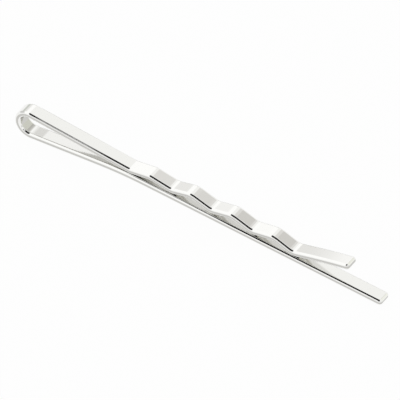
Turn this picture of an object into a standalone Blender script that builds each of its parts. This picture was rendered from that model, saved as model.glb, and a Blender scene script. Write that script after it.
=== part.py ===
"""A wavy hair grip, bent from one strip of plated spring wire. Metres, +Z up.

The strip runs from the tip of the flat leg back to the eye, round the eye and out along the
crimped leg. Its centreline is the path of a belt round a row of circles, one for each bend, so
every bend is a true arc and every run between two bends is straight. Each section of the strip
is a ribbon along that path, and modifiers give it its thickness, its rounded tip and its
rounded edges. The ribbons of two neighbours overlap at first and are then cut at one plane.
+X runs from the eye to the tips and +Y across the strip. The grip lies on its flat leg.
"""
import math

import bmesh
import bpy
from mathutils import Matrix, Vector

# The strip
OVERALL_LENGTH = 0.0595
STRIP_WIDTH = 0.00216
STRIP_THICKNESS = 0.00092
STRIP_EDGE_RADIUS = 0.00033
TIP_CORNER_RADIUS = 0.00045

# The eye, a round bend with a short straight stub at each end
EYE_OUTER_RADIUS = 0.00238
EYE_STUB_LENGTH = 0.00030

# The flat leg, which bows up from the table between the eye and its tip
BOW_CROWN_DISTANCE = 0.0193
BOW_CROWN_CLEARANCE = 0.00132
BOW_RADIUS = 0.0600

# The crimped leg, whose waves lie along the flat leg and whose tip turns up as a lead-in
FIRST_TROUGH_DISTANCE = 0.0188
CRIMP_PITCH = 0.00659
CREST_COUNT = 4
CRIMP_BEND_RADIUS = 0.00230
CRIMP_HEIGHT = 0.00075
FIRST_CRIMP_HEIGHT_SHARE = 0.62
LEAD_IN_LENGTH = 0.00893
LEAD_IN_BEND_RADIUS = 0.1000
LEAD_IN_CAMBER_SHARE = 0.9
MOUTH_OPENING = 0.00281

# The gap between the legs at the first and last trough, and how much wider it is between them
LEG_CLEARANCE = 0.00021
MIDDLE_GAPE = 0.00022

# The hairline between two sections of the strip at a cut
SECTION_CLEARANCE = 0.00002

# Facets, and how far a cutter reaches past what it cuts
FACET_DEPTH = 0.0000025
EDGE_SEGMENTS = 4
TIP_SEGMENTS = 6
ROUNDED_EDGE_ANGLE = math.radians(60)
CUTTER_OVERRUN = 0.0010

# Bright plating over spring steel
PLATING_COLOUR = (0.87, 0.87, 0.86, 1.0)
PLATING_METALLIC = 1.0
PLATING_ROUGHNESS = 0.12

EYE_BACK = -OVERALL_LENGTH / 2
HALF_THICKNESS = STRIP_THICKNESS / 2
COUNTER_CLOCKWISE = 1
CLOCKWISE = -1
PART_NAME = "hair_grip"
CUTTERS_NAME = "cutters"
TIP_GROUP_NAME = "tip_corners"


class Bend:
    """A circle that the centreline runs round, seen from the front with +X right and +Z up."""

    def __init__(self, x, z, radius=0.0, turn=COUNTER_CLOCKWISE):
        self.x = x
        self.z = z
        self.radius = radius
        self.turn = turn

    def point(self, heading):
        """The place on the bend where the centreline heads that way."""
        reach = self.turn * self.radius
        return (self.x + reach * math.sin(heading), self.z - reach * math.cos(heading))


def heading_between(start, end):
    """The heading of the straight run that leaves one bend and joins the next without a kink."""
    run = end.x - start.x
    rise = end.z - start.z
    offset = start.turn * start.radius - end.turn * end.radius
    return math.atan2(rise, run) + math.asin(offset / math.hypot(run, rise))


def points_round(bend, heading_in, heading_out):
    """The centreline's points on one bend, close enough together for shallow facets."""
    if bend.radius == 0:
        return [bend.point(heading_in)]
    sweep = (bend.turn * (heading_out - heading_in)) % math.tau
    widest_step = 2 * math.acos(1 - FACET_DEPTH / bend.radius)
    steps = max(1, math.ceil(sweep / widest_step))
    headings = [heading_in + bend.turn * sweep * step / steps for step in range(steps + 1)]
    return [bend.point(heading) for heading in headings]


def centreline(bends):
    """The points on each bend of the strip in turn, as one list for each bend."""
    headings = [heading_between(start, end) for start, end in zip(bends, bends[1:])]
    arriving = headings[:1] + headings
    leaving = headings + headings[-1:]
    return [points_round(*stage) for stage in zip(bends, arriving, leaving)]


def flat_leg_bends():
    """The flat leg's tip, and the bow between it and the eye."""
    tip = Bend(EYE_BACK + OVERALL_LENGTH, HALF_THICKNESS)
    crown = BOW_CROWN_CLEARANCE + HALF_THICKNESS
    bow = Bend(EYE_BACK + BOW_CROWN_DISTANCE, crown - BOW_RADIUS, BOW_RADIUS)
    return [tip, bow]


def eye_bend():
    """The eye, which the strip runs round from below."""
    centreline_radius = EYE_OUTER_RADIUS - HALF_THICKNESS
    return Bend(EYE_BACK + EYE_OUTER_RADIUS, EYE_OUTER_RADIUS, centreline_radius, CLOCKWISE)


def above_flat_leg(distance, height):
    """The point that far along from the eye's back and that high over the flat leg's centre."""
    tip, bow = flat_leg_bends()
    x = EYE_BACK + distance
    straight_fall = (math.pi - heading_between(tip, bow)) % math.tau
    fall = min(math.asin((x - bow.x) / bow.radius), straight_fall)
    foot_x, foot_z = bow.point(math.pi - fall)
    z = foot_z - (x - foot_x) * math.tan(fall)
    return (x + height * math.sin(fall), z + height * math.cos(fall))


def lead_in_bends(last_trough):
    """The faint bend along the lead-in, and its tip."""
    distance = FIRST_TROUGH_DISTANCE + CREST_COUNT * CRIMP_PITCH + LEAD_IN_LENGTH
    tip = Bend(*above_flat_leg(distance, STRIP_THICKNESS + MOUTH_OPENING))
    heading = heading_between(last_trough, tip)
    start_x, start_z = last_trough.point(heading)
    half_length = math.hypot(tip.x - start_x, tip.z - start_z) / 2
    camber = LEAD_IN_CAMBER_SHARE * half_length ** 2 / (2 * LEAD_IN_BEND_RADIUS)
    reach = LEAD_IN_BEND_RADIUS - camber
    x = (start_x + tip.x) / 2 + reach * math.sin(heading)
    z = (start_z + tip.z) / 2 - reach * math.cos(heading)
    return [Bend(x, z, LEAD_IN_BEND_RADIUS, CLOCKWISE), tip]


def crimped_leg_bends():
    """The troughs and crests in turn, and then the lead-in."""
    bends = []
    last = 2 * CREST_COUNT
    for index in range(last + 1):
        is_crest = index % 2 == 1
        turn = CLOCKWISE if is_crest else COUNTER_CLOCKWISE
        lift = CRIMP_HEIGHT if is_crest else 0.0
        if index == 1:
            lift *= FIRST_CRIMP_HEIGHT_SHARE
        gap = LEG_CLEARANCE + MIDDLE_GAPE * (1 - (2 * index / last - 1) ** 2)
        height = STRIP_THICKNESS + gap + lift + turn * CRIMP_BEND_RADIUS
        distance = FIRST_TROUGH_DISTANCE + index * CRIMP_PITCH / 2
        bends.append(Bend(*above_flat_leg(distance, height), CRIMP_BEND_RADIUS, turn))
    return bends + lead_in_bends(bends[-1])


def strip_runs():
    """The centreline's points on the flat leg, round the eye and on the crimped leg."""
    flat_leg = flat_leg_bends()
    points = centreline(flat_leg + [eye_bend()] + crimped_leg_bends())
    on_flat_leg = sum(points[:len(flat_leg)], [])
    on_eye = points[len(flat_leg)]
    on_crimped_leg = sum(points[len(flat_leg) + 1:], [])
    return on_flat_leg, on_eye, on_crimped_leg


def cut_plane():
    """Where the eye ends and both legs begin: past its bend, by a stub's length."""
    on_eye = strip_runs()[1]
    return max(on_eye[0][0], on_eye[-1][0]) + EYE_STUB_LENGTH


def opening_pivot():
    """The crimped leg turns on the outer face of the strip, so that its cut end swings clear."""
    on_eye, on_crimped_leg = strip_runs()[1:]
    start = Vector(on_eye[-1])
    run = Vector(on_crimped_leg[0]) - start
    x = cut_plane() + SECTION_CLEARANCE / 2
    on_centre = start + run * ((x - start.x) / run.x)
    slope = math.atan2(run.y, run.x)
    return Vector((x, 0, on_centre.y + HALF_THICKNESS / math.cos(slope)))


def plating_material(name):
    """The strip's bright plating."""
    material = bpy.data.materials.new(name)
    material.use_nodes = True
    shader = material.node_tree.nodes["Principled BSDF"]
    shader.inputs["Base Color"].default_value = PLATING_COLOUR
    shader.inputs["Metallic"].default_value = PLATING_METALLIC
    shader.inputs["Roughness"].default_value = PLATING_ROUGHNESS
    return material


def ribbon_mesh(name, points):
    """An open ribbon as wide as the strip, drawn out sideways from the points."""
    ribbon = bmesh.new()
    near_edge = [ribbon.verts.new((x, -STRIP_WIDTH / 2, z)) for x, z in points]
    for pair in zip(near_edge, near_edge[1:]):
        ribbon.edges.new(pair)
    drawn = bmesh.ops.extrude_edge_only(ribbon, edges=ribbon.edges[:])
    far_edge = [element for element in drawn["geom"] if isinstance(element, bmesh.types.BMVert)]
    bmesh.ops.translate(ribbon, verts=far_edge, vec=(0, STRIP_WIDTH, 0))
    mesh = bpy.data.meshes.new(name)
    ribbon.to_mesh(mesh)
    ribbon.free()
    return mesh


def tip_shoulder(tip, neighbour):
    """Where the strip's full width begins, just behind its rounded tip."""
    start = Vector(tip)
    shoulder_length = TIP_CORNER_RADIUS + STRIP_EDGE_RADIUS
    return tuple(start + (Vector(neighbour) - start).normalized() * shoulder_length)


def round_tip_corners(section, tip):
    """Round the ribbon's two corners at the tip, as seen from above."""
    group = section.vertex_groups.new(name=TIP_GROUP_NAME)
    corners = [v.index for v in section.data.vertices if (v.co.xz - Vector(tip)).length == 0]
    group.add(corners, 1.0, "REPLACE")
    rounding = section.modifiers.new("tip_corners", "BEVEL")
    rounding.affect = "VERTICES"
    rounding.limit_method = "VGROUP"
    rounding.vertex_group = TIP_GROUP_NAME
    rounding.width = TIP_CORNER_RADIUS
    rounding.segments = TIP_SEGMENTS


def thicken(section):
    """Give the ribbon the strip's thickness."""
    thickness = section.modifiers.new("thickness", "SOLIDIFY")
    thickness.thickness = STRIP_THICKNESS
    thickness.offset = 0
    thickness.use_even_offset = True


def round_edges(section):
    """Round every long edge of the strip, and the rim of its tip."""
    rounding = section.modifiers.new("rounded_edges", "BEVEL")
    rounding.limit_method = "ANGLE"
    rounding.angle_limit = ROUNDED_EDGE_ANGLE
    rounding.width = STRIP_EDGE_RADIUS
    rounding.segments = EDGE_SEGMENTS
    rounding.use_clamp_overlap = False


def cut_away(section, cutter):
    """Cut the section's overlap with its neighbour off."""
    cut = section.modifiers.new("cut_" + cutter.name, "BOOLEAN")
    cut.operation = "DIFFERENCE"
    cut.solver = "EXACT"
    cut.object = cutter


def add_cutter(name, low_x, high_x, collection):
    """A box across the whole strip between two places along it."""
    low_z = -CUTTER_OVERRUN
    high_z = 2 * EYE_OUTER_RADIUS + CUTTER_OVERRUN
    width = STRIP_WIDTH + 2 * CUTTER_OVERRUN
    size = Matrix.Diagonal((high_x - low_x, width, high_z - low_z, 1))
    box = bmesh.new()
    bmesh.ops.create_cube(box, size=1, matrix=size)
    mesh = bpy.data.meshes.new(name)
    box.to_mesh(mesh)
    box.free()
    cutter = bpy.data.objects.new(name, mesh)
    cutter.location = ((low_x + high_x) / 2, 0, (low_z + high_z) / 2)
    cutter.display_type = "WIRE"
    cutter.hide_render = True
    collection.objects.link(cutter)
    return cutter


def add_section(name, points, cutter, collection, tip=None, origin=(0, 0, 0)):
    """One section of the strip as a finished piece with its origin where it is wanted."""
    section = bpy.data.objects.new(name, ribbon_mesh(name, points))
    section.data.materials.append(plating_material(name + "_plating"))
    collection.objects.link(section)
    if tip is not None:
        round_tip_corners(section, tip)
    section.data.transform(Matrix.Translation(-Vector(origin)))
    section.data.shade_smooth()
    section.location = origin
    thicken(section)
    round_edges(section)
    cut_away(section, cutter)
    return section


def add_flat_leg(eye_zone, collection):
    """The straight leg, which lies under the hair and on the table."""
    on_flat_leg, on_eye, _ = strip_runs()
    tip, *rest = on_flat_leg
    points = [tip, tip_shoulder(tip, rest[0])] + rest + on_eye[:len(on_eye) // 2]
    return add_section("flat_leg", points, eye_zone, collection, tip)


def add_spring_eye(leg_zone, collection):
    """The round bend that springs the legs together."""
    on_flat_leg, on_eye, on_crimped_leg = strip_runs()
    points = on_flat_leg[-1:] + on_eye + on_crimped_leg[:1]
    return add_section("spring_eye", points, leg_zone, collection)


def add_crimped_leg(eye_zone, collection):
    """The wavy leg, which lies over the hair and swings up on the eye."""
    _, on_eye, on_crimped_leg = strip_runs()
    *rest, tip = on_crimped_leg
    points = on_eye[len(on_eye) // 2:] + rest + [tip_shoulder(tip, rest[-1]), tip]
    return add_section("crimped_leg", points, eye_zone, collection, tip, opening_pivot())


def clear_scene():
    """Start from an empty scene."""
    for item in list(bpy.data.objects):
        bpy.data.objects.remove(item, do_unlink=True)


def add_collection(name):
    """A collection of that name in the scene."""
    collection = bpy.data.collections.new(name)
    bpy.context.scene.collection.children.link(collection)
    return collection


def main():
    """Build the grip."""
    clear_scene()
    grip = add_collection(PART_NAME)
    cutters = add_collection(CUTTERS_NAME)
    cut = cut_plane()
    legs_start = cut + SECTION_CLEARANCE / 2
    eye_ends = cut - SECTION_CLEARANCE / 2
    overlap_ends = EYE_BACK + FIRST_TROUGH_DISTANCE + CRIMP_PITCH
    eye_zone = add_cutter("eye_zone", EYE_BACK - CUTTER_OVERRUN, legs_start, cutters)
    leg_zone = add_cutter("leg_zone", eye_ends, overlap_ends, cutters)
    add_flat_leg(eye_zone, grip)
    add_spring_eye(leg_zone, grip)
    add_crimped_leg(eye_zone, grip)


main()
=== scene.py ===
"""The looks of a wavy hair grip: one strip of polished, plated spring wire on a pale table.

The strip's centreline is the same path as in the CAD model, the path of a belt round a row of
circles. Here it carries a finer strip, in three pieces that meet at the ends of the eye: two
legs that ride on their own bodies, and the eye between them. Metres, +Z up.
"""
import math

import bmesh
import bpy
from mathutils import Matrix, Vector


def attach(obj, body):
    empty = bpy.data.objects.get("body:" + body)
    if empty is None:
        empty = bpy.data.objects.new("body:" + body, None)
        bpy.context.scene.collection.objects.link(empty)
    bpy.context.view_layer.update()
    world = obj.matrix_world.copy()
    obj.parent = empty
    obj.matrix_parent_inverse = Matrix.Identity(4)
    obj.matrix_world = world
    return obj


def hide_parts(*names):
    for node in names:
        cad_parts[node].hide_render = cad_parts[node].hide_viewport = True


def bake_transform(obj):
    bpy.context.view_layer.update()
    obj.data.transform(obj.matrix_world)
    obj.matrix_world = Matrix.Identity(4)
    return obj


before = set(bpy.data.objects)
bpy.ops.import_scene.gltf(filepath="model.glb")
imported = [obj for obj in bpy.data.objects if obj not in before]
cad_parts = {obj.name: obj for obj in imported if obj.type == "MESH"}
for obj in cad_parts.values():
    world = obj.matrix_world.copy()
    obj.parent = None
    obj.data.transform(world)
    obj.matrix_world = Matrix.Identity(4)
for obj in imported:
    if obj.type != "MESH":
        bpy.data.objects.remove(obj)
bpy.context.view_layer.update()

# The strip, as in the CAD model
OVERALL_LENGTH = 0.0595
STRIP_WIDTH = 0.00216
STRIP_THICKNESS = 0.00092
STRIP_EDGE_RADIUS = 0.00033
TIP_CORNER_RADIUS = 0.00045
EYE_OUTER_RADIUS = 0.00238
EYE_STUB_LENGTH = 0.00030
BOW_CROWN_DISTANCE = 0.0193
BOW_CROWN_CLEARANCE = 0.00132
BOW_RADIUS = 0.0600
FIRST_TROUGH_DISTANCE = 0.0188
CRIMP_PITCH = 0.00659
CREST_COUNT = 4
CRIMP_BEND_RADIUS = 0.00230
CRIMP_HEIGHT = 0.00075
FIRST_CRIMP_HEIGHT_SHARE = 0.62
LEAD_IN_LENGTH = 0.00893
LEAD_IN_BEND_RADIUS = 0.1000
LEAD_IN_CAMBER_SHARE = 0.9
MOUTH_OPENING = 0.00281
LEG_CLEARANCE = 0.00021
MIDDLE_GAPE = 0.00022

# How finely the strip is drawn, with a margin beside each rounded edge that keeps the broad
# faces flat
BEND_STEP = math.radians(1.5)
LONGEST_STEP = 0.00030
EDGE_STEPS = 3
CORNER_STEPS = 12
TIP_STEPS = 4
FLAT_MARGIN = 0.00002
WELD_DISTANCE = 0.0000002

# The narrow flat that rolling leaves on the rounded edges: the angle between its facing and the
# broad face's, half the angle that it takes up at its widest, and the share of it at each side
# that blends into the rounding
EDGE_FLAT_FACING = math.radians(35.5)
EDGE_FLAT_HALF_WIDTH = math.radians(18.5)
EDGE_FLAT_MARGIN_SHARE = 0.08

# That flat's width as (x, share): along the flat leg with the eye, and the crimped leg
FLAT_LEG_EDGE = [(-0.0266, 1.00), (-0.0250, 0.05), (-0.0035, 0.05), (0.0030, 0.55), (0.0060, 1.00)]
CRIMPED_LEG_EDGE = [(-0.0266, 1.00), (-0.0255, 0.20), (-0.0180, 0.10), (-0.0145, 1.00)]

# The camera looks down on the grip from the front right, from far off
CAMERA_AZIMUTH = math.radians(33.75)
CAMERA_ELEVATION = math.radians(45.6)
CAMERA_DISTANCE = 2.0
VIEW_WIDTH = 0.05405
AIM_RIGHT = -0.00012
AIM_UP = 0.00188
SENSOR_WIDTH_MM = 36.0

# The floor
FLOOR_SIZE = 6.0
FLOOR_COLOUR = (0.90, 0.90, 0.90, 1.0)
FLOOR_GLOW_SEEN = 0.965
FLOOR_GLOW_MIRRORED = 0.85

# The plating: its colour, the fine lines from drawing the wire, and a faint unevenness
PLATING_COLOUR = (0.94, 0.938, 0.922, 1.0)
PLATING_SHADE = (0.92, 0.918, 0.90, 1.0)
POLISHED_ROUGHNESS = 0.03
DRAWN_ROUGHNESS = 0.08
LINES_PER_METRE = (300.0, 8000.0, 1.0)
LINE_DEPTH = 0.0000001
CLOUDS_PER_METRE = (350.0, 700.0, 1.0)
RIPPLE_DEPTH = 0.000001

# The duller plating where the polishing wheel hardly reached, with painted shade in its colour:
# its darker colour on the sides, between the legs and inside the eye is partly the duller plating
# and partly painted shade. A share of polish and light of 1 is fully polished and bright, as on
# the broad outer faces and the rounded edges.
DULL_AND_PAINTED_SHADE_COLOUR = (0.60, 0.595, 0.57, 1.0)
DULL_ROUGHNESS = 0.14
# The sides are dull all over; their dark colour is partly duller plating and partly painted shade,
# the strip's mirrored shadow on the table
SIDE_POLISH_AND_LIGHT = 0.00

# The share of polish and light on the strip's inside as (x, share): on the flat leg with the eye,
# and the crimped leg. Low shares are duller plating and painted shade between the legs and inside
# the eye.
# Near the eye on the flat leg, the narrow bright stretch is a painted glint, and the dark stretch
# after it is a painted dark reflection.
FLAT_LEG_POLISH_AND_LIGHT = [
    (-0.0276, 0.10), (-0.0274, 0.85), (-0.0270, 0.85), (-0.0268, 0.15), (-0.0254, 0.15),
    (-0.0252, 0.70), (0.0140, 0.70), (0.0200, 1.00),
]
CRIMPED_LEG_POLISH_AND_LIGHT = [(-0.0080, 0.00), (-0.0020, 0.55), (0.0200, 0.60)]

# The studio: a white room, and its panels as (colour, lowest and highest direction, soft edge).
# A later panel covers the ones before it.
WHITE = (1.0, 1.0, 1.0, 1.0)
ROOM_COLOUR = (1.06, 1.06, 1.055, 1.0)
PANELS = [
    # Behind: mirrored by the level faces, and the greyer ones by the slopes that face the tips
    ((0.945, 0.945, 0.930, 1.0), (-0.36, 0.30, 0.30), (0.90, 0.70, None), 0.05),
    ((0.760, 0.750, 0.730, 1.0), (-0.14, 0.52, 0.20), (0.90, 0.66, None), 0.05),
    ((0.655, 0.645, 0.620, 1.0), (0.11, 0.52, 0.10), (0.95, 0.66, None), 0.04),
    # Behind on the right: mirrored by the back of the eye's inside and by the ends of the tips
    ((0.920, 0.930, 0.860, 1.0), (0.25, 0.30, -0.10), (None, 0.72, None), 0.06),
    # Behind on the left: mirrored by the lead-in, and as two bands by the back of the eye
    ((0.830, 0.825, 0.810, 1.0), (None, 0.30, -0.10), (-0.715, 0.72, 0.48), 0.09),
    ((0.620, 0.640, 0.600, 1.0), (None, 0.30, -0.10), (-0.79, 0.72, 0.38), 0.04),
    # Straight behind, and low behind on the left: mirrored by the far edges
    ((0.900, 0.900, 0.885, 1.0), (None, 0.80, None), (None, None, None), 0.04),
    ((0.200, 0.200, 0.198, 1.0), (None, 0.72, None), (-0.34, None, 0.22), 0.03),
    # Low on the left and on the right: mirrored by the edges of the eye
    ((0.620, 0.620, 0.610, 1.0), (None, -0.60, -0.10), (-0.82, 0.30, 0.45), 0.06),
    ((0.700, 0.700, 0.690, 1.0), (0.82, -0.60, -0.10), (None, 0.30, 0.45), 0.06),
    # In front and overhead: mirrored by the near edges, beside their dark line
    ((0.360, 0.360, 0.355, 1.0), (-0.30, None, 0.12), (0.60, -0.50, 0.62), 0.05),
    ((0.360, 0.360, 0.355, 1.0), (-0.36, -0.62, 0.74), (0.40, 0.12, None), 0.08),
    ((0.150, 0.150, 0.150, 1.0), (-0.37, -0.60, 0.74), (-0.30, -0.08, None), 0.03),
    # High in front: mirrored as that dark line by the flats on the near edges
    ((0.005, 0.005, 0.005, 1.0), (-0.39, -0.62, 0.60), (0.30, -0.36, None), 0.03),
]

# The sockets of a mix node
MIX_SHARE = 0
MIX_VALUES = (2, 3)
MIX_COLOURS = (6, 7)
MIXED_VALUE = 0
MIXED_COLOUR = 2

EYE_BACK = -OVERALL_LENGTH / 2
HALF_THICKNESS = STRIP_THICKNESS / 2
COUNTER_CLOCKWISE = 1
CLOCKWISE = -1


class Bend:
    """A circle that the centreline runs round, seen from the front with +X right and +Z up."""

    def __init__(self, x, z, radius=0.0, turn=COUNTER_CLOCKWISE):
        self.x = x
        self.z = z
        self.radius = radius
        self.turn = turn

    def point(self, heading):
        """The place on the bend where the centreline heads that way."""
        reach = self.turn * self.radius
        return Vector((self.x + reach * math.sin(heading), self.z - reach * math.cos(heading)))


def heading_between(start, end):
    """The heading of the straight run that leaves one bend and joins the next without a kink."""
    run = end.x - start.x
    rise = end.z - start.z
    offset = start.turn * start.radius - end.turn * end.radius
    return math.atan2(rise, run) + math.asin(offset / math.hypot(run, rise))


def flat_leg_bends():
    """The flat leg's tip, and the bow between it and the eye."""
    tip = Bend(EYE_BACK + OVERALL_LENGTH, HALF_THICKNESS)
    crown = BOW_CROWN_CLEARANCE + HALF_THICKNESS
    bow = Bend(EYE_BACK + BOW_CROWN_DISTANCE, crown - BOW_RADIUS, BOW_RADIUS)
    return [tip, bow]


def eye_bend():
    """The eye, which the strip runs round from below."""
    centreline_radius = EYE_OUTER_RADIUS - HALF_THICKNESS
    return Bend(EYE_BACK + EYE_OUTER_RADIUS, EYE_OUTER_RADIUS, centreline_radius, CLOCKWISE)


def above_flat_leg(distance, height):
    """The point that far along from the eye's back and that high over the flat leg's centre."""
    tip, bow = flat_leg_bends()
    x = EYE_BACK + distance
    straight_fall = (math.pi - heading_between(tip, bow)) % math.tau
    fall = min(math.asin((x - bow.x) / bow.radius), straight_fall)
    foot_x, foot_z = bow.point(math.pi - fall)
    z = foot_z - (x - foot_x) * math.tan(fall)
    return (x + height * math.sin(fall), z + height * math.cos(fall))


def lead_in_bends(last_trough):
    """The faint bend along the lead-in, and its tip."""
    distance = FIRST_TROUGH_DISTANCE + CREST_COUNT * CRIMP_PITCH + LEAD_IN_LENGTH
    tip = Bend(*above_flat_leg(distance, STRIP_THICKNESS + MOUTH_OPENING))
    heading = heading_between(last_trough, tip)
    start_x, start_z = last_trough.point(heading)
    half_length = math.hypot(tip.x - start_x, tip.z - start_z) / 2
    camber = LEAD_IN_CAMBER_SHARE * half_length ** 2 / (2 * LEAD_IN_BEND_RADIUS)
    reach = LEAD_IN_BEND_RADIUS - camber
    x = (start_x + tip.x) / 2 + reach * math.sin(heading)
    z = (start_z + tip.z) / 2 - reach * math.cos(heading)
    return [Bend(x, z, LEAD_IN_BEND_RADIUS, CLOCKWISE), tip]


def crimped_leg_bends():
    """The troughs and crests in turn, and then the lead-in."""
    bends = []
    last = 2 * CREST_COUNT
    for index in range(last + 1):
        is_crest = index % 2 == 1
        turn = CLOCKWISE if is_crest else COUNTER_CLOCKWISE
        lift = CRIMP_HEIGHT if is_crest else 0.0
        if index == 1:
            lift *= FIRST_CRIMP_HEIGHT_SHARE
        gap = LEG_CLEARANCE + MIDDLE_GAPE * (1 - (2 * index / last - 1) ** 2)
        height = STRIP_THICKNESS + gap + lift + turn * CRIMP_BEND_RADIUS
        distance = FIRST_TROUGH_DISTANCE + index * CRIMP_PITCH / 2
        bends.append(Bend(*above_flat_leg(distance, height), CRIMP_BEND_RADIUS, turn))
    return bends + lead_in_bends(bends[-1])


class Station:
    """A place on the centreline, with its heading and its distance along the strip."""

    def __init__(self, point, heading, distance=0.0):
        self.point = point
        self.heading = heading
        self.distance = distance

    def at(self, along, across, up):
        """A place in the strip: along it, across it to +Y, and up to its side inside the eye."""
        forward = Vector((math.cos(self.heading), math.sin(self.heading)))
        inward = Vector((forward.y, -forward.x))
        place = self.point + forward * along + inward * up
        return Vector((place.x, across, place.y))


def arc_stations(bend, heading_in, heading_out):
    """Stations along one bend."""
    sweep = (bend.turn * (heading_out - heading_in)) % math.tau
    steps = max(1, math.ceil(max(sweep / BEND_STEP, sweep * bend.radius / LONGEST_STEP)))
    headings = [heading_in + bend.turn * sweep * step / steps for step in range(steps + 1)]
    return [Station(bend.point(heading), heading) for heading in headings]


def straight_stations(start, end):
    """Stations between two ends of a straight run, both ends left out."""
    run = end.point - start.point
    steps = max(1, math.ceil(run.length / LONGEST_STEP))
    shares = [step / steps for step in range(1, steps)]
    return [Station(start.point + run * share, start.heading) for share in shares]


def strip_stations():
    """Stations along the whole strip, from the flat leg's tip to the crimped leg's tip."""
    bends = flat_leg_bends() + [eye_bend()] + crimped_leg_bends()
    headings = [heading_between(start, end) for start, end in zip(bends, bends[1:])]
    arriving = headings[:1] + headings
    leaving = headings + headings[-1:]
    stations = [Station(bends[0].point(headings[0]), headings[0])]
    for bend, heading_in, heading_out in list(zip(bends, arriving, leaving))[1:]:
        if bend.radius == 0:
            on_bend = [Station(bend.point(heading_in), heading_in)]
        else:
            on_bend = arc_stations(bend, heading_in, heading_out)
        stations += straight_stations(stations[-1], on_bend[0]) + on_bend
    for before, after in zip(stations, stations[1:]):
        after.distance = before.distance + (after.point - before.point).length
    return stations


def cut_plane():
    """Where the eye ends and both legs begin: past its bend, by a stub's length."""
    bow = flat_leg_bends()[-1]
    eye = eye_bend()
    first_trough = crimped_leg_bends()[0]
    ends = [eye.point(heading_between(bow, eye)), eye.point(heading_between(eye, first_trough))]
    return max(end.x for end in ends) + EYE_STUB_LENGTH


def split_at_cut(stations):
    """The stations of the flat leg, the eye and the crimped leg, each with its own ends."""
    cut = cut_plane()
    runs = [[]]
    for before, after in zip(stations, stations[1:]):
        runs[-1].append(before)
        if (before.point.x - cut) * (after.point.x - cut) < 0:
            share = (cut - before.point.x) / (after.point.x - before.point.x)
            point = before.point.lerp(after.point, share)
            distance = before.distance + share * (after.distance - before.distance)
            seam = Station(point, before.heading, distance)
            runs[-1].append(seam)
            runs.append([seam])
    runs[-1].append(stations[-1])
    return runs


def edge_place(angle):
    """The place on the rounding that faces at that angle from the broad face's facing."""
    centre = HALF_THICKNESS - STRIP_EDGE_RADIUS
    return (STRIP_EDGE_RADIUS * math.sin(angle), centre + STRIP_EDGE_RADIUS * math.cos(angle))


def rim_profile(flat_share):
    """The rounded edge in section: (out from where the broad face ends, up from the centre)."""
    flat_start = EDGE_FLAT_FACING - EDGE_FLAT_HALF_WIDTH * flat_share
    flat_end = EDGE_FLAT_FACING + EDGE_FLAT_HALF_WIDTH * flat_share
    rest = math.pi / 2 - flat_end
    before = [edge_place(flat_start * step / EDGE_STEPS) for step in range(EDGE_STEPS + 1)]
    after = [edge_place(flat_end + rest * step / EDGE_STEPS) for step in range(EDGE_STEPS + 1)]
    start = Vector(before[-1])
    end = Vector(after[0])
    on_flat = [start.lerp(end, EDGE_FLAT_MARGIN_SHARE), end.lerp(start, EDGE_FLAT_MARGIN_SHARE)]
    upper = before + [tuple(place) for place in on_flat] + after
    lower = [(out, -up) for out, up in reversed(upper)]
    return [(-FLAT_MARGIN, HALF_THICKNESS)] + upper + lower + [(-FLAT_MARGIN, -HALF_THICKNESS)]


def rim_polish_and_light(inside_share):
    """The share of polish and light at each place of that section, given the share on the strip's
    inside; a low share is duller plating with painted shade.
    """
    # The inside's share holds at both ends of its margin, and the side's at both ends of the side
    half = len(rim_profile(1.0)) // 2
    inner_half = [inside_share] * 2 + [1.0] * (half - 3) + [SIDE_POLISH_AND_LIGHT]
    outer_half = [SIDE_POLISH_AND_LIGHT] + [1.0] * (half - 1)
    return inner_half + outer_half


def share_along(table, x):
    """The share there, between the entries of a table of (x, share)."""
    if x <= table[0][0]:
        return table[0][1]
    for (start, low), (end, high) in zip(table, table[1:]):
        if x <= end:
            return low + (high - low) * (x - start) / (end - start)
    return table[-1][1]


class Rim:
    """A place on the outline: where the broad face ends there, and which way the rim faces."""

    def __init__(self, station, along, across, facing):
        self.station = station
        self.along = along
        self.across = across
        self.facing = facing

    def vertices(self, side, flat_share):
        """The rim's section there as points in space, on the +Y side or the -Y side."""
        points = []
        for out, up in rim_profile(flat_share):
            along = self.along + out * math.sin(self.facing)
            across = self.across + out * math.cos(self.facing)
            points.append(self.station.at(along, side * max(across, 0.0), up))
        return points


def side_rims(stations):
    """The outline along the strip's parallel sides."""
    return [Rim(station, 0.0, STRIP_WIDTH / 2 - STRIP_EDGE_RADIUS, 0.0) for station in stations]


def tip_rims(station, outward):
    """The outline round a tip's corner to the middle of its end.

    Outward is 1 at the strip's last tip and -1 at its first.
    """
    rims = []
    inner_radius = TIP_CORNER_RADIUS - STRIP_EDGE_RADIUS
    corner = STRIP_WIDTH / 2 - TIP_CORNER_RADIUS
    for step in range(1, CORNER_STEPS + 1):
        turned = math.pi / 2 * step / CORNER_STEPS
        along = outward * (inner_radius * math.sin(turned) - TIP_CORNER_RADIUS)
        across = corner + inner_radius * math.cos(turned)
        rims.append(Rim(station, along, across, outward * turned))
    for step in range(1, TIP_STEPS + 1):
        along = -outward * STRIP_EDGE_RADIUS
        across = corner * (1 - step / TIP_STEPS)
        rims.append(Rim(station, along, across, outward * math.pi / 2))
    return rims


def outline(stations, first_tip=False, last_tip=False):
    """The rims along one piece of the strip."""
    start = stations[0]
    end = stations[-1]
    inside = stations
    if first_tip:
        inside = [s for s in inside if (s.point - start.point).length > TIP_CORNER_RADIUS]
        shoulder = start.point + (inside[0].point - start.point).normalized() * TIP_CORNER_RADIUS
        inside = [Station(shoulder, start.heading, TIP_CORNER_RADIUS)] + inside
    if last_tip:
        inside = [s for s in inside if (s.point - end.point).length > TIP_CORNER_RADIUS]
        shoulder = end.point + (inside[-1].point - end.point).normalized() * TIP_CORNER_RADIUS
        inside = inside + [Station(shoulder, end.heading, end.distance - TIP_CORNER_RADIUS)]
    rims = side_rims(inside)
    if first_tip:
        rims = tip_rims(start, -1)[::-1] + rims
    if last_tip:
        rims = rims + tip_rims(end, 1)
    return rims


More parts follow.
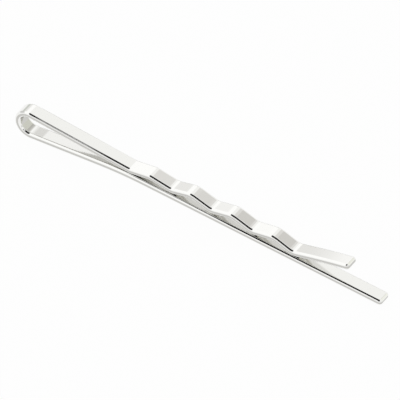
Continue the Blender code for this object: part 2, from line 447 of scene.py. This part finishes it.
def strip_mesh(name, rims, edge_table, polish_and_light_table):
    """A closed strip through the rims.

    Its first UVs are the distances along it and round it, and its second ones hold its share of
    polish and light, which the plating turns into duller colour and painted shade where it is low.
    """
    strip = bmesh.new()
    uv = strip.loops.layers.uv.new("strip")
    polish = strip.loops.layers.uv.new("polish")
    rows = []
    for rim in rims:
        x = rim.station.point.x
        flat_share = share_along(edge_table, x)
        near = [strip.verts.new(p) for p in rim.vertices(-1, flat_share)]
        far = [strip.verts.new(p) for p in rim.vertices(1, flat_share)]
        near_polish_and_light = rim_polish_and_light(share_along(polish_and_light_table, x))
        rows.append((rim, near + far[::-1], near_polish_and_light + near_polish_and_light[::-1]))
    middle = rows[len(rows) // 2][1]
    girth = [0.0]
    for vertex, following in zip(middle, middle[1:] + middle[:1]):
        girth.append(girth[-1] + (following.co - vertex.co).length)
    count = len(middle)
    for row, next_row in zip(rows, rows[1:]):
        for index in range(count):
            corners = [(row, index), (row, index + 1), (next_row, index + 1), (next_row, index)]
            face = strip.faces.new([vertices[step % count] for (_, vertices, _), step in corners])
            face.smooth = True
            for loop, ((rim, _, shares), step) in zip(face.loops, corners):
                loop[uv].uv = (rim.station.distance + rim.along, girth[step])
                loop[polish].uv = (shares[step % count], 0.0)
    for rim, vertices, _ in (rows[0], rows[-1]):
        if rim.across > 0:
            cap = strip.faces.new(vertices)
            for edge in cap.edges:
                edge.smooth = False
    bmesh.ops.remove_doubles(strip, verts=strip.verts, dist=WELD_DISTANCE)
    bmesh.ops.recalc_face_normals(strip, faces=strip.faces)
    mesh = bpy.data.meshes.new(name)
    strip.to_mesh(mesh)
    strip.free()
    return mesh


def add_piece(name, rims, material, edge_table, polish_and_light_table):
    """One piece of the strip in the scene."""
    piece = bpy.data.objects.new(name, strip_mesh(name, rims, edge_table, polish_and_light_table))
    piece.data.materials.append(material)
    bpy.context.scene.collection.objects.link(piece)
    return piece


def add_node(tree, kind, inputs=None, **settings):
    """A shader node with its settings and input values."""
    node = tree.nodes.new(kind)
    for key, value in settings.items():
        setattr(node, key, value)
    for key, value in (inputs or {}).items():
        if isinstance(value, bpy.types.NodeSocket):
            tree.links.new(value, node.inputs[key])
        else:
            node.inputs[key].default_value = value
    return node


def mix_values(tree, share, first, second):
    """A value between two values, by the share of the second one."""
    inputs = {MIX_SHARE: share, MIX_VALUES[0]: first, MIX_VALUES[1]: second}
    return add_node(tree, "ShaderNodeMix", inputs, data_type="FLOAT").outputs[MIXED_VALUE]


def mix_colours(tree, share, first, second):
    """A colour between two colours, by the share of the second one."""
    inputs = {MIX_SHARE: share, MIX_COLOURS[0]: first, MIX_COLOURS[1]: second}
    return add_node(tree, "ShaderNodeMix", inputs, data_type="RGBA").outputs[MIXED_COLOUR]


def multiply(tree, first, second):
    """The product of two values."""
    return add_node(tree, "ShaderNodeMath", {0: first, 1: second}, operation="MULTIPLY").outputs[0]


def noise(tree, place, per_metre):
    """Plain noise at a place, with so many grains to the metre in each direction."""
    scaled = add_node(tree, "ShaderNodeMapping", {"Vector": place, "Scale": per_metre})
    inputs = {"Vector": scaled.outputs["Vector"], "Scale": 1.0}
    return add_node(tree, "ShaderNodeTexNoise", inputs).outputs["Fac"]


def plating_material():
    """Polished plating over drawn wire: fine lines along the strip, a faint unevenness, and duller
    plating with painted shade where the share of polish and light is low.
    """
    material = bpy.data.materials.new("plating")
    material.use_nodes = True
    tree = material.node_tree
    shader = tree.nodes["Principled BSDF"]
    strip = add_node(tree, "ShaderNodeUVMap", uv_map="strip").outputs["UV"]
    lines = noise(tree, strip, LINES_PER_METRE)
    clouds = noise(tree, strip, CLOUDS_PER_METRE)
    tint = add_node(tree, "ShaderNodeValToRGB", {"Fac": clouds})
    tint.color_ramp.elements[0].color = PLATING_SHADE
    tint.color_ramp.elements[1].color = PLATING_COLOUR
    polish_and_light_at = add_node(tree, "ShaderNodeUVMap", uv_map="polish").outputs["UV"]
    polish = add_node(tree, "ShaderNodeSeparateXYZ", {"Vector": polish_and_light_at}).outputs["X"]
    # Painted shade: where the share of polish and light is low, the colour falls to the dull,
    # shaded colour, with a painted glint and dark line near the eye
    colour = mix_colours(tree, polish, DULL_AND_PAINTED_SHADE_COLOUR, tint.outputs["Color"])
    tree.links.new(colour, shader.inputs["Base Color"])
    gloss = add_node(tree, "ShaderNodeMapRange", {
        "Value": lines, "To Min": POLISHED_ROUGHNESS, "To Max": DRAWN_ROUGHNESS,
    })
    roughness = mix_values(tree, polish, DULL_ROUGHNESS, gloss.outputs["Result"])
    tree.links.new(roughness, shader.inputs["Roughness"])
    ripple = add_node(tree, "ShaderNodeBump", {
        "Height": clouds, "Strength": 1.0, "Distance": RIPPLE_DEPTH,
    })
    drawn = add_node(tree, "ShaderNodeBump", {
        "Height": lines, "Strength": 1.0, "Distance": LINE_DEPTH,
        "Normal": ripple.outputs["Normal"],
    })
    tree.links.new(drawn.outputs["Normal"], shader.inputs["Normal"])
    shader.inputs["Metallic"].default_value = 1.0
    return material


def floor_material():
    """A pale table top that stays white to the camera and in the metal, and keeps its shadow."""
    material = bpy.data.materials.new("floor")
    material.use_nodes = True
    tree = material.node_tree
    tree.nodes.clear()
    matt = add_node(tree, "ShaderNodeBsdfDiffuse", {"Color": FLOOR_COLOUR})
    glow = add_node(tree, "ShaderNodeEmission", {"Color": WHITE, "Strength": 1.0})
    ray = add_node(tree, "ShaderNodeLightPath")
    indirect = add_node(tree, "ShaderNodeMath", {
        0: ray.outputs["Is Glossy Ray"], 1: ray.outputs["Is Transmission Ray"],
    }, operation="MAXIMUM")
    mirrored = multiply(tree, indirect.outputs["Value"], FLOOR_GLOW_MIRRORED)
    share = add_node(tree, "ShaderNodeMath", {
        0: ray.outputs["Is Camera Ray"], 1: FLOOR_GLOW_SEEN, 2: mirrored,
    }, operation="MULTIPLY_ADD")
    mix = add_node(tree, "ShaderNodeMixShader", {
        0: share.outputs["Value"], 1: matt.outputs["BSDF"], 2: glow.outputs["Emission"],
    })
    add_node(tree, "ShaderNodeOutputMaterial", {"Surface": mix.outputs["Shader"]})
    return material


def add_floor():
    """The table under the grip."""
    mesh = bpy.data.meshes.new("floor")
    half = FLOOR_SIZE / 2
    corners = [(-half, -half, 0), (half, -half, 0), (half, half, 0), (-half, half, 0)]
    mesh.from_pydata(corners, [], [(0, 1, 2, 3)])
    mesh.materials.append(floor_material())
    floor = bpy.data.objects.new("floor", mesh)
    bpy.context.scene.collection.objects.link(floor)


def panel_share(tree, direction, low, high, soft):
    """How much of a panel lies in a direction: 1 between low and high, soft outside them."""
    edges = []
    for axis in range(3):
        for limit, sign in ((low[axis], 1), (high[axis], -1)):
            if limit is None:
                continue
            edges.append(add_node(tree, "ShaderNodeMapRange", {
                "Value": direction[axis],
                "From Min": limit - sign * soft, "From Max": limit,
            }, interpolation_type="SMOOTHSTEP").outputs["Result"])
    share = edges[0]
    for edge in edges[1:]:
        share = multiply(tree, share, edge)
    return share


def add_studio():
    """A white room with a few darker panels, which the polished strip mirrors."""
    world = bpy.data.worlds.new("studio")
    world.use_nodes = True
    tree = world.node_tree
    tree.nodes.clear()
    place = add_node(tree, "ShaderNodeTexCoord")
    split = add_node(tree, "ShaderNodeSeparateXYZ", {"Vector": place.outputs["Generated"]})
    direction = [split.outputs[axis] for axis in ("X", "Y", "Z")]
    colour = ROOM_COLOUR
    for panel_colour, low, high, soft in PANELS:
        share = panel_share(tree, direction, low, high, soft)
        colour = mix_colours(tree, share, colour, panel_colour)
    ray = add_node(tree, "ShaderNodeLightPath")
    backdrop = mix_colours(tree, ray.outputs["Is Camera Ray"], colour, WHITE)
    light = add_node(tree, "ShaderNodeBackground", {"Color": backdrop, "Strength": 1.0})
    add_node(tree, "ShaderNodeOutputWorld", {"Surface": light.outputs["Background"]})
    bpy.context.scene.world = world


def add_camera():
    """The photograph's camera, far off and high on the front right."""
    data = bpy.data.cameras.new("camera")
    data.sensor_width = SENSOR_WIDTH_MM
    data.lens = SENSOR_WIDTH_MM * CAMERA_DISTANCE / VIEW_WIDTH
    azimuth, elevation = CAMERA_AZIMUTH, CAMERA_ELEVATION
    right = Vector((math.cos(azimuth), math.sin(azimuth), 0))
    level = Vector((math.sin(azimuth), -math.cos(azimuth), 0))
    back = level * math.cos(elevation) + Vector((0, 0, math.sin(elevation)))
    up = back.cross(right)
    camera = bpy.data.objects.new("camera", data)
    turn = Matrix((right, up, back)).transposed().to_4x4()
    place = right * AIM_RIGHT + up * AIM_UP + back * CAMERA_DISTANCE
    camera.matrix_world = Matrix.Translation(place) @ turn
    bpy.context.scene.collection.objects.link(camera)
    bpy.context.scene.camera = camera


def build_grip():
    """The strip in three pieces, the two legs each on its own body."""
    material = plating_material()
    on_flat_leg, on_eye, on_crimped_leg = split_at_cut(strip_stations())
    flat_leg_rims = outline(on_flat_leg, first_tip=True)
    crimped_leg_rims = outline(on_crimped_leg, last_tip=True)
    lower_looks = (material, FLAT_LEG_EDGE, FLAT_LEG_POLISH_AND_LIGHT)
    upper_looks = (material, CRIMPED_LEG_EDGE, CRIMPED_LEG_POLISH_AND_LIGHT)
    flat_leg = add_piece("flat_leg_strip", flat_leg_rims, *lower_looks)
    eye = add_piece("eye_strip", outline(on_eye), *lower_looks)
    crimped_leg = add_piece("crimped_leg_strip", crimped_leg_rims, *upper_looks)
    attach(flat_leg, "flat_leg_and_eye")
    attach(crimped_leg, "crimped_leg")
    low_end = on_eye[0].at(0.0, 0.0, HALF_THICKNESS)
    high_end = on_eye[-1].at(0.0, 0.0, HALF_THICKNESS)
    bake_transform(eye)
    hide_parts("flat_leg")
    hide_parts("spring_eye")
    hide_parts("crimped_leg")


build_grip()
add_floor()
add_studio()
add_camera()
bpy.context.scene.view_settings.view_transform = "Standard"
